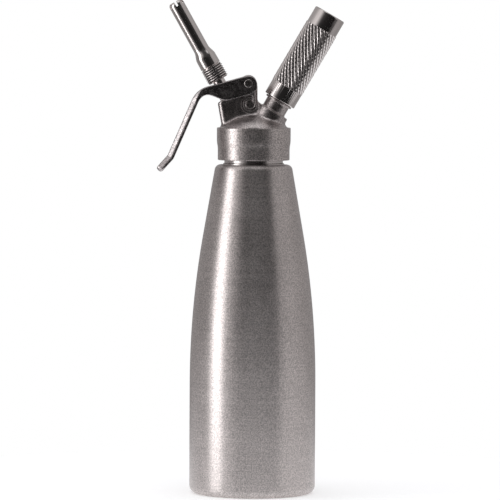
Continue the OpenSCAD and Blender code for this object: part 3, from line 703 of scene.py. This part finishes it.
def head_field():
    """The casting over the cap: dome, tower, ear and boss, with the pocket and the bores."""
    x, y, z = grid(HEAD_LOW, HEAD_HIGH, HEAD_STEP)
    up = z - CROSS_Z
    vs, vc = math.sin(math.radians(VALVE_TILT)), math.cos(math.radians(VALVE_TILT))
    ps, pc = math.sin(math.radians(PORT_TILT)), math.cos(math.radians(PORT_TILT))
    along_v, off_v = up * vc - x * vs, x * vc + up * vs
    along_p, off_p = x * ps + up * pc, x * pc - up * ps
    round_v, round_p = np.hypot(off_v, y), np.hypot(off_p, y)
    from_pin = np.hypot(x - PIN[0], z - PIN[1])

    # The roof inside the cap, and the dome
    flat = np.hypot(x, y)
    roof = np.maximum(np.maximum(flat - ROOF_R, RECESS_Z - z), z - CAP_TOP_Z + 0.5)
    dome = np.sqrt(flat**2 + (z - (CAP_TOP_Z + DOME_H - DOME_SPHERE)) ** 2) - DOME_SPHERE
    dome = np.maximum(dome, CAP_TOP_Z - 0.8 - z)

    # The tower
    lean = (x - LEFT_EDGE) * math.cos(LEFT_LEAN) + (z - CAP_TOP_Z - 1.2) * math.sin(LEFT_LEAN)
    left = rounded_box(lean - LEFT_HALF, y, LEFT_HALF, TOWER_HALF, TOWER_CORNER)
    left = keep(left, along_v - TOWER_TOP, 1.2)
    right = rounded_box(x - RIGHT_X, y, RIGHT_HALF, TOWER_HALF, TOWER_CORNER)
    notch = np.maximum(TOWER_TOP - along_v, off_v - PIVOT_OFF + 0.8 * EAR_R)
    right = np.maximum(right, -notch)
    right = np.maximum(right, z - PIN[1] + 2)
    ear = keep(from_pin - EAR_R, np.abs(y) - TOWER_HALF, 1.0)
    tower = join(join(left, right, 0.6), ear, 0.6)

    # The port, and all that stands on the dome
    boss = keep(round_p - BOSS_R, along_p - BOSS_TOP, 1.0)
    stem = keep(round_p - PORT_R, along_p - HOLDER_LOW + 0.1, 0.3)
    collar = keep(round_p - COLLAR_R, np.abs(along_p - HOLDER_LOW + 1.05) - COLLAR_HALF, 0.4)
    port = np.minimum(join(boss, stem, 1.6), collar)
    casting = np.maximum(join(tower, port, CAST_FILLET), CAP_TOP_Z - 0.1 - z)
    body = np.minimum(join(casting, dome, DOME_FILLET), roof)

    # The pocket
    pocket = np.hypot(x - POCKET_X, z - POCKET_Z)
    hollow = np.maximum(pocket - POCKET_R, TOWER_HALF - POCKET_DEPTH - np.abs(y))
    for radius in RING_RADII:
        ring = np.abs(pocket - radius) - RING_HALF
        hollow = np.maximum(hollow, -np.maximum(ring, np.abs(y) - TOWER_HALF + RING_DEPTH))
    beyond = x - POCKET_X - 1.8
    above = (z - POCKET_Z - 1.5) * math.cos(OPEN_SLOPE) + beyond * math.sin(OPEN_SLOPE)
    hollow = np.maximum(hollow, np.minimum(beyond, above))
    body = keep(body, -hollow, 0.35)

    # The bores
    body = keep(body, -np.maximum(round_v - SPRING_BORE_R, BORE_FLOOR - along_v), 0.5)
    body = np.maximum(body, SPINDLE_BORE_R - round_v)
    body = np.maximum(body, -np.maximum(round_v - CHAMBER_R, along_v - CHAMBER_TOP))
    body = np.maximum(body, -np.maximum(round_p - INLET_BORE_R, BORE_FLOOR - along_p))
    body = np.maximum(body, GAS_WAY_R - round_p)
    return np.maximum(body, PIN_BORE_R - from_pin)


head = skin("head_casting", head_field(), HEAD_LOW, HEAD_STEP)
dress(head, "head", "cast_steel", "head_body")

PORT_TOP = HOLDER_LOW + 10.8
SEAL_BORE_R = 4.7
SEAL_FLOOR = 43.0
port = turned(
    "port_thread",
    [(INLET_BORE_R, HOLDER_LOW - 0.3), (9.0, HOLDER_LOW - 0.3), (9.0, HOLDER_LOW + 0.3)]
    + [(PORT_R, z) for z in np.arange(HOLDER_LOW + 0.4, PORT_TOP, 0.125)]
    + [(8.7, PORT_TOP), (4.9, PORT_TOP), (SEAL_BORE_R, PORT_TOP - 0.2),
       (SEAL_BORE_R, SEAL_FLOOR), (INLET_BORE_R, SEAL_FLOOR)],
    PORT, sides=96,
    shape=threaded(pitch=1.5, depth=0.6, low=HOLDER_LOW + 0.3, high=PORT_TOP - 0.1))
dress(port, "head", "machined_steel", "head_body")

# ------------------------------------------------------------------- lever

LEVER_LOW = (-86.0, -11.6, -48.5)
LEVER_HIGH = (8.0, 11.6, 7.5)
LEVER_STEP = 0.4

# The lever's own frame has its origin at the pin and X along the flat top. From the
# top the sheet bends down into the arm, and at the arm's knee it kicks out into the tab.
LEVER_TOP = 6.1
LEVER_HALF = 10.8
LEVER_SHEET = 2.0
WEB_END = 11
CHEEK_DEPTH = 14.5
LEVER_BEND_START = 31.2
LEVER_BEND_R = 18.0
LEVER_BEND = 50.9
ARM_LEN = 46.0
ARM_DEPTH = 5.4
TAB_KICK = 18.5
TAB_LEN = 13.6
TAB_CORNER = 6.5
TAB = math.radians(LEVER_BEND - TAB_KICK)

# The side plate: its round end at the pin, and its lower edge, which leaves the arm at
# the throat and slopes to the belly
CHEEK_END_X = -0.8
THROAT_TURN = 30.0
BELLY_X = -29.2
BELLY_DROP = 7.9
BELLY_SLOPE = math.radians(36.6)

# The bevel along the arm's outer edges, which deepens over a stretch behind the bend
BEVEL_SLOPE = math.radians(33)
BEVEL_DEPTH = 4.2
BEVEL_START = -32
BEVEL_RUN = 12

# The slot for the adapter, and the pin's hole
SLOT_X = -19.67
SLOT_HALF = 0.76
SLOT_R = 5.3
LEVER_HOLE_R = 2.05


def lever_line(depth, turn=0.0):
    """The lever's top contour, or a line that far below it, from a turn of its bend to its knee."""
    centre_y = LEVER_TOP - LEVER_BEND_R
    points = arc(-LEVER_BEND_START, centre_y, LEVER_BEND_R - depth, 90 + turn, 90 + LEVER_BEND, 16)
    x, y = points[-1]
    length = ARM_LEN + depth * math.tan(math.radians(TAB_KICK / 2))
    bend = math.radians(LEVER_BEND)
    points.append((x - length * math.cos(bend), y - length * math.sin(bend)))
    return points


def tab_round():
    """Round end of the tab, from its outside to its inside."""
    x, y = lever_line(0)[-1]
    radius = ARM_DEPTH / 2
    length = TAB_LEN - radius
    x += radius * math.sin(TAB) - length * math.cos(TAB)
    y -= radius * math.cos(TAB) + length * math.sin(TAB)
    return arc(x, y, radius, 90 + math.degrees(TAB), 270 + math.degrees(TAB), 16)


def cheek_outline():
    """Side plate: round at the pin, deep at the tower, shallow along the arm."""
    half = CHEEK_DEPTH / 2
    low = LEVER_TOP - CHEEK_DEPTH
    throat_turn = math.radians(THROAT_TURN)
    inner = lever_line(ARM_DEPTH, THROAT_TURN)
    start = Vector(inner[0])
    leave = Vector((math.cos(throat_turn), math.sin(throat_turn)))
    ramp = Vector((math.cos(BELLY_SLOPE), -math.sin(BELLY_SLOPE)))
    high = Vector((BELLY_X, LEVER_TOP - BELLY_DROP))
    throat = start + leave * (high - start).cross(ramp) / leave.cross(ramp)
    belly = high + ramp * (high.y - low) / -ramp.y
    outline = arc(CHEEK_END_X, LEVER_TOP - half, half, -90, 90, 30)
    outline += lever_line(0) + tab_round() + inner[::-1]
    outline += bowed(start, throat, high, 8)
    return outline + bowed(belly - 2.5 * ramp, belly, belly + Vector((5, 0)), 8)


def below_line(depth):
    """Everything below a line that far under the lever's top, out past the grid's edges."""
    line = lever_line(depth)
    x, y = line[-1]
    line.append((x - 30 * math.cos(TAB), y - 30 * math.sin(TAB)))
    return [(30.0, LEVER_TOP - depth)] + line + [(-110.0, -90.0), (30.0, -90.0)]


def lever_field():
    """The lever, pressed from sheet: web, side plates, arm and tab, with the slot and the hole."""
    x, y, z = grid(LEVER_LOW, LEVER_HIGH, LEVER_STEP)
    flat_x, flat_z = x[:, :, 0], z[0]
    outer = polygon_field(cheek_outline(), flat_x, flat_z)[:, None, :]
    top = polygon_field(below_line(0), flat_x, flat_z)[:, None, :]
    inner = polygon_field(below_line(LEVER_SHEET), flat_x, flat_z)[:, None, :]
    side = np.abs(y) - LEVER_HALF

    # The outer form, bevelled along the arm and rounded at the tab
    arm = np.clip((BEVEL_START - x) / BEVEL_RUN, 0, 1)
    facet = (top + BEVEL_DEPTH * arm * arm * (3 - 2 * arm)) * math.sin(BEVEL_SLOPE)
    facet = facet + side * math.cos(BEVEL_SLOPE)
    body = keep(within(top, side, 1.2), facet, 0.8)
    body = keep(body, outer, 0.7)
    long = 90  # half the length of boxes of which only the end at the tab matters
    knee_x, knee_z = lever_line(0)[-1]
    reach = (knee_x - x) * math.cos(TAB) + (knee_z - z) * math.sin(TAB) - TAB_LEN
    body = keep(body, rounded_box(reach + long, y, long, LEVER_HALF, TAB_CORNER), 1.0)

    # The room under the web, open at the pin's end
    width = LEVER_HALF - LEVER_SHEET
    room = rounded_box(reach + long + LEVER_SHEET, y, long, width, TAB_CORNER - LEVER_SHEET)
    body = keep(body, -keep(inner, room, 1.4), 0.7)
    body = keep(body, -np.maximum(-x - WEB_END, side + LEVER_SHEET), 0.7)

    # The slot and the pin's hole
    slot = np.hypot(np.maximum(np.abs(x - SLOT_X) - SLOT_HALF, 0), y) - SLOT_R
    body = keep(body, -np.maximum(slot, 1 - z), 0.5)
    return np.maximum(body, LEVER_HOLE_R - np.hypot(x, z))


lever = skin("lever_pressed", lever_field(), LEVER_LOW, LEVER_STEP, LEVER)
dress(lever, "lever", "lever_steel", "lever")

# -------------------------------------------------- dispensing valve and tip


def web_height(level, off):
    """Height along the valve of a line on the lever, above the pin, at a distance from the pin."""
    tilt = math.radians(VALVE_TILT - LEVER_SLOPE)
    return (level + off * math.sin(tilt)) / math.cos(tilt)


# The adapter has a stalk through the lever's slot, down to the spring cup, then the thread
# for the tip and a spigot
ADAPTER_R = 8.5
ADAPTER_BORE_R = 3.15
STALK_R = 4.6
ADAPTER_LOW = PIVOT_UP + web_height(LEVER_TOP, PIVOT_OFF + ADAPTER_R) + 0.3
ADAPTER_TOP = ADAPTER_LOW + 12
SPIGOT_R = 6.2
SPIGOT_TOP = ADAPTER_TOP + 5.3
SPIGOT_BORE_R = 4.3
STEM_TOP = ADAPTER_LOW + 3
CUP_TOP = PIVOT_UP + web_height(LEVER_TOP - LEVER_SHEET, PIVOT_OFF - 6.2) - 0.3
adapter = turned(
    "nozzle_adapter_threaded",
    [(ADAPTER_BORE_R, CUP_TOP), (STALK_R - 0.2, CUP_TOP), (STALK_R, CUP_TOP + 0.2),
     (STALK_R, ADAPTER_LOW - 0.1), (4.9, ADAPTER_LOW), (7.5, ADAPTER_LOW),
     (7.7, ADAPTER_LOW + 0.2)]
    + [(ADAPTER_R, z) for z in np.arange(ADAPTER_LOW + 0.3, ADAPTER_TOP - 0.2, 0.1)]
    + [(7.6, ADAPTER_TOP - 0.1), (7.4, ADAPTER_TOP), (6.5, ADAPTER_TOP),
       (SPIGOT_R, ADAPTER_TOP + 0.3), (SPIGOT_R, SPIGOT_TOP - 0.3), (5.9, SPIGOT_TOP),
       (SPIGOT_BORE_R, SPIGOT_TOP), (SPIGOT_BORE_R, STEM_TOP + 0.5),
       (ADAPTER_BORE_R, STEM_TOP + 0.5)],
    VALVE, sides=160,
    shape=threaded(pitch=1.75, depth=1.25, low=ADAPTER_LOW + 0.25, high=ADAPTER_TOP - 0.15,
                   flat=0.2))
dress(adapter, "valve", "polished_steel", "nozzle_adapter", "thread_steel")
# Painted shade: a dark sleeve under the thread's crests darkens its grooves
groove_shade_sleeve("nozzle_adapter_groove_shade", "valve", "nozzle_adapter", inner=6.6, outer=7.75,
          low=ADAPTER_LOW + 0.6, high=ADAPTER_TOP - 0.5, place=VALVE)

TIP_LOW = ADAPTER_TOP + 0.2
TIP_TOP = TIP_LOW + 56.38
TIP_BORE_R = 6.25
SKIRT_R = 8.0
SKIRT_TOP_R = 7.85
SKIRT_H = 7.9
FLARE_H = 6.5
TUBE_R = 5.95
TUBE_BORE_R = 4.9
TIP_ROUND = 3
ROUND_BORE_R = 1.95
ROUND_Z = TIP_TOP - TIP_ROUND
ROUND_END = 66
SHELF = SPIGOT_TOP + 0.82
TIP_SLOTS = 6
TIP_SLOT_HALF = 0.9
TIP_SLOT_LOW = TIP_TOP - 4.2


def tip_outline():
    """Section of the tip: skirt, flare, tube and round end outside, then the inside."""
    points = [(TIP_BORE_R, TIP_LOW), (SKIRT_R - 0.25, TIP_LOW), (SKIRT_R, TIP_LOW + 0.25)]
    for t in np.linspace(0, 1, 8):
        points.append((SKIRT_R - 0.15 * t, TIP_LOW + 0.3 + (SKIRT_H - 0.3) * t))
    for t in np.linspace(0, 1, 16)[1:]:
        ease = t * t * (3 - 2 * t) * 0.5 + 0.5 * t
        radius = SKIRT_TOP_R - (SKIRT_TOP_R - TUBE_R) * ease
        points.append((radius, TIP_LOW + SKIRT_H + FLARE_H * t))
    points += [(TUBE_R, z) for z in np.linspace(TIP_LOW + 16, ROUND_Z, 10)[:-1]]
    points += arc(TUBE_R - TIP_ROUND, ROUND_Z, TIP_ROUND, 0, ROUND_END, 10)
    points += arc(TUBE_R - TIP_ROUND, ROUND_Z, ROUND_BORE_R, ROUND_END, 0, 6)
    return points + [(TUBE_BORE_R, TIP_LOW + 15), (5.85, SHELF + 0.4), (TIP_BORE_R, SHELF)]


def slot_cutters():
    """Blades that cut the slots into the tip's round end."""
    half, low, high = TIP_SLOT_HALF, TIP_SLOT_LOW, TIP_TOP + 2
    section = eased([(-half, low, half), (half, low, half), (half, high, 0), (-half, high, 0)], 6)
    count = len(section)
    points = [(r, u, v) for r in (0.4, 9.0) for u, v in section]
    faces = [tuple(range(count)), tuple(range(2 * count - 1, count - 1, -1))]
    faces += [(k, (k + 1) % count, count + (k + 1) % count, count + k) for k in range(count)]
    turns = [math.radians(360 / TIP_SLOTS * i + 30) for i in range(TIP_SLOTS)]
    return [make("slot_cutter", points, faces, VALVE @ Matrix.Rotation(a, 4, "Z")) for a in turns]


tip = turned("decorator_tip_drawn", tip_outline(), VALVE, sides=192)
cut_by(tip, slot_cutters())
dress(tip, "tip", "polished_steel", "decorator_tip")


def squashed(spring):
    """Gives a spring its own copy of its mesh."""
    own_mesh(spring)


VALVE_WIRE_R = 0.45
SPRING_LOW = 30.5
SPRING_HIGH = CUP_TOP - 2.5
spring = coil("valve_spring_wound", radius=4.43, low=SPRING_LOW, high=SPRING_HIGH, turns=7,
              wire_r=VALVE_WIRE_R, place=VALVE)
dress(spring, "head", "spring_steel", "valve_spring")
squashed(spring)

CHECK_WIRE_R = 0.2
CHECK_LOW = 27.3
check = coil("check_spring_wound", radius=1.3, low=CHECK_LOW, high=31.7, turns=4,
             wire_r=CHECK_WIRE_R, place=PORT)
dress(check, "head", "spring_steel", "check_spring")
squashed(check)

# ---------------------------------------------------------- charger holder

# Heights are along the port's axis
HOLDER_TOP = HOLDER_LOW + 76.4
HOLDER_R = 12.65
HOLDER_MOUTH_R = 9.35
HOLDER_BORE_R = 10.65
HOLDER_THREAD_TOP = 52.5
END_THICKNESS = 2.6
BAND_TOP_R = 12.5
KNURL_R = 12.95
KNURL_LOW = HOLDER_LOW + 11.6
KNURL_HIGH = HOLDER_TOP - 13.1
KNURL_COUNT = 24
KNURL_ROW = 0.3
KNURL_TURN = 2 * math.pi * KNURL_R
KNURL_LINES = ((35, 0.8), (-35, 0.2))  # degrees from the axis, and depth


def knurled(radius, height, angle):
    """Diamond knurl: two crossing sets of helical V grooves."""
    cut = 0
    for degrees, depth in KNURL_LINES:
        climb = height * math.tan(math.radians(degrees)) / KNURL_TURN
        part = np.mod(KNURL_COUNT * (angle / (2 * math.pi) + climb), 1)
        cut = np.maximum(cut, depth * np.clip(1 - np.abs(part - 0.5) * 2.9, 0, 1))
    edge = np.clip(np.minimum(height - KNURL_LOW, KNURL_HIGH - height) / 0.5, 0, 1)
    on_skin = (radius > KNURL_R - 0.01) & (height > KNURL_LOW) & (height < KNURL_HIGH)
    return np.where(on_skin, radius - cut * edge, radius)


def holder_outline():
    """Section of the holder: lower band, knurled skin, upper band, closed end, inside."""
    points = eased([(HOLDER_MOUTH_R, HOLDER_LOW, 0.3), (HOLDER_R, HOLDER_LOW, 0.7),
                    (HOLDER_R, KNURL_LOW, 0)], 5)
    rows = np.arange(KNURL_LOW + 0.25, KNURL_HIGH - 0.1, KNURL_ROW)
    points += [(KNURL_R, z) for z in rows]
    points += eased([(BAND_TOP_R, KNURL_HIGH, 0), (BAND_TOP_R, HOLDER_TOP, 1.3),
                     (0, HOLDER_TOP, 0)], 6)
    end = HOLDER_TOP - END_THICKNESS
    return points + [(0, end), (HOLDER_BORE_R - 0.15, end), (HOLDER_BORE_R, end - 0.2),
                     (HOLDER_BORE_R, HOLDER_THREAD_TOP), (HOLDER_MOUTH_R, HOLDER_THREAD_TOP)]


holder = turned(
    "charger_holder_knurled", holder_outline(), PORT, sides=416, shape=knurled, crease=35)
dress(holder, "holder", "polished_steel", "charger_holder")
# Painted shade: a dark sleeve under the knurl's crests darkens its grooves
groove_shade_sleeve("charger_holder_groove_shade", "holder", "charger_holder", inner=11.5,
          outer=KNURL_R - 0.55, low=KNURL_LOW + 0.5, high=KNURL_HIGH - 0.4, place=PORT)

# ------------------------------------------------------------------- stage


def background_share(tree):
    """1 where the camera sees a thing, directly, in a reflection or through something."""
    path = node(tree, "ShaderNodeLightPath").outputs
    seen = maths(tree, "MAXIMUM", path["Is Camera Ray"], path["Is Glossy Ray"])
    return maths(tree, "MAXIMUM", seen, path["Is Transmission Ray"])


def stage_material(name, color, glow):
    """Pale stage material: lit as it is, and a share of its own light where it is seen."""
    material, tree, shader = new_material(name)
    tree.nodes.remove(shader)
    strength = maths(tree, "MULTIPLY", background_share(tree), glow)
    matte = node(tree, "ShaderNodeBsdfDiffuse", {"Color": color})
    light = node(tree, "ShaderNodeEmission", {"Color": color, "Strength": strength})
    both = node(tree, "ShaderNodeAddShader", {0: matte.outputs[0], 1: light.outputs[0]})
    tree.links.new(both.outputs[0], tree.nodes["Material Output"].inputs["Surface"])
    return material


FLOOR_R = 330.0
floor_outline = [(0.0, -0.02), (FLOOR_R, -0.02), (FLOOR_R + 2, -1.0), (FLOOR_R + 2, -12.0)]
floor = turned("floor", floor_outline, sides=96, closed=False)
floor.data.materials.append(stage_material("floor_white", (0.9, 0.9, 0.9, 1), 0.37))

# Angle from the camera's side, to the right, then the wall's tone low down, at the
# object's height and high up
LEVELS = np.array([
    (-180, 0.30, 0.30, 0.40), (-150, 0.36, 0.36, 0.45), (-120, 0.32, 0.32, 0.45),
    (-95, 0.26, 0.26, 0.60), (-86, 0.40, 0.40, 0.80), (-56, 0.50, 0.50, 0.90),
    (-45, 0.30, 0.32, 0.60), (-32, 0.06, 0.08, 0.15), (-24, 0.02, 0.02, 0.06),
    (0, 0.02, 0.02, 0.06), (20, 0.015, 0.015, 0.05), (45, 0.01, 0.01, 0.04),
    (51, 0.02, 0.03, 0.10), (54, 0.05, 0.45, 0.45), (66, 0.08, 0.45, 0.45),
    (72, 0.38, 0.42, 0.45), (90, 0.40, 0.42, 0.50), (125, 0.34, 0.36, 0.42),
    (150, 0.36, 0.36, 0.45), (180, 0.30, 0.30, 0.40)])

# Heights of the wall's rows, each with its column of the tones
WALL_ROWS = [(-1500, 1), (-450, 1), (-200, 2), (700, 2), (1100, 3), (7000, 3)]
WALL_R = 2200


def studio_wall():
    """Grey studio wall all round, for reflections only."""
    turn = np.linspace(-180, 180, 361)
    count = len(turn)
    x, y = WALL_R * np.sin(np.radians(turn)), -WALL_R * np.cos(np.radians(turn))
    points = np.concatenate([np.stack([x, y, np.full(count, z)], -1) for z, _ in WALL_ROWS])
    columns = [np.interp(turn, LEVELS[:, 0], LEVELS[:, column]) for _, column in WALL_ROWS]
    level = np.concatenate(columns)
    faces = []
    for row in range(len(WALL_ROWS) - 1):
        for i in range(count - 1):
            a = row * count + i
            faces.append((a, a + 1, a + 1 + count, a + count))
    wall = make("studio_wall", points, faces)

    # make() merges the points where the wall closes, so each tone is found by its place
    tone = wall.data.attributes.new("tone", "FLOAT", "POINT")
    spots = np.array([corner.co[:] for corner in wall.data.vertices]) / MM
    nearest = [np.abs(points - spot).sum(1).argmin() for spot in spots]
    tone.data.foreach_set("value", level[nearest].astype(np.float32))

    material, tree, shader = new_material("studio_wall")
    tree.nodes.remove(shader)
    read = node(tree, "ShaderNodeAttribute", attribute_name="tone").outputs["Fac"]
    glow = node(tree, "ShaderNodeEmission", {"Color": (1, 0.97, 0.965, 1), "Strength": read})
    tree.links.new(glow.outputs[0], tree.nodes["Material Output"].inputs["Surface"])
    wall.data.materials.append(material)
    wall.visible_camera = False
    wall.visible_diffuse = False
    wall.visible_shadow = False


studio_wall()


def lamp(name, turn, height, distance, width, tall, radiance):
    """Softbox that faces the object; turn is its angle from the camera's side, to the right."""
    light = bpy.data.lights.new(name, "AREA")
    light.shape = "RECTANGLE"
    light.size, light.size_y = width, tall
    light.energy = radiance * math.pi * width * tall
    item = bpy.data.objects.new(name, light)
    a = math.radians(turn)
    item.location = (distance * math.sin(a), -distance * math.cos(a), height)
    aim = Vector((0, 0, 0.2)) - item.location
    item.rotation_euler = aim.to_track_quat("-Z", "Y").to_euler()
    item.visible_camera = False
    bpy.context.scene.collection.objects.link(item)


lamp("softbox_left", -70, height=0.2, distance=2.0, width=0.8, tall=1.7, radiance=2.8)
lamp("softbox_top", 15, height=2.3, distance=0.9, width=1.2, tall=0.8, radiance=0.8)

world = bpy.data.worlds.new("studio")
bpy.context.scene.world = world
world.use_nodes = True
sky = world.node_tree
fill = node(sky, "ShaderNodeBackground", {"Color": (0.98, 0.98, 1, 1), "Strength": 0.75})
white = node(sky, "ShaderNodeBackground", {"Color": (1, 1, 1, 1), "Strength": 1.0})
both = node(sky, "ShaderNodeMixShader", {
    0: background_share(sky), 1: fill.outputs[0], 2: white.outputs[0]})
sky.links.new(both.outputs[0], sky.nodes["World Output"].inputs["Surface"])

# ------------------------------------------------------------------ camera

CAMERA_AT = (0.0, -3.27, 0.361)
CAMERA_TARGET = (-0.00245, 0, 0.1865)
CAMERA_ROLL = 0.29

camera_data = bpy.data.cameras.new("camera")
camera = bpy.data.objects.new("camera", camera_data)
bpy.context.scene.collection.objects.link(camera)
bpy.context.scene.camera = camera
camera_data.sensor_width = 36
camera_data.lens = 308.0
camera_data.clip_end = 30
camera.location = CAMERA_AT
aim = (Vector(CAMERA_TARGET) - camera.location).to_track_quat("-Z", "Y").to_matrix().to_4x4()
roll = Matrix.Rotation(math.radians(CAMERA_ROLL), 4, "Z")
camera.rotation_euler = (aim @ roll).to_euler()

bpy.context.scene.view_settings.view_transform = "Standard"
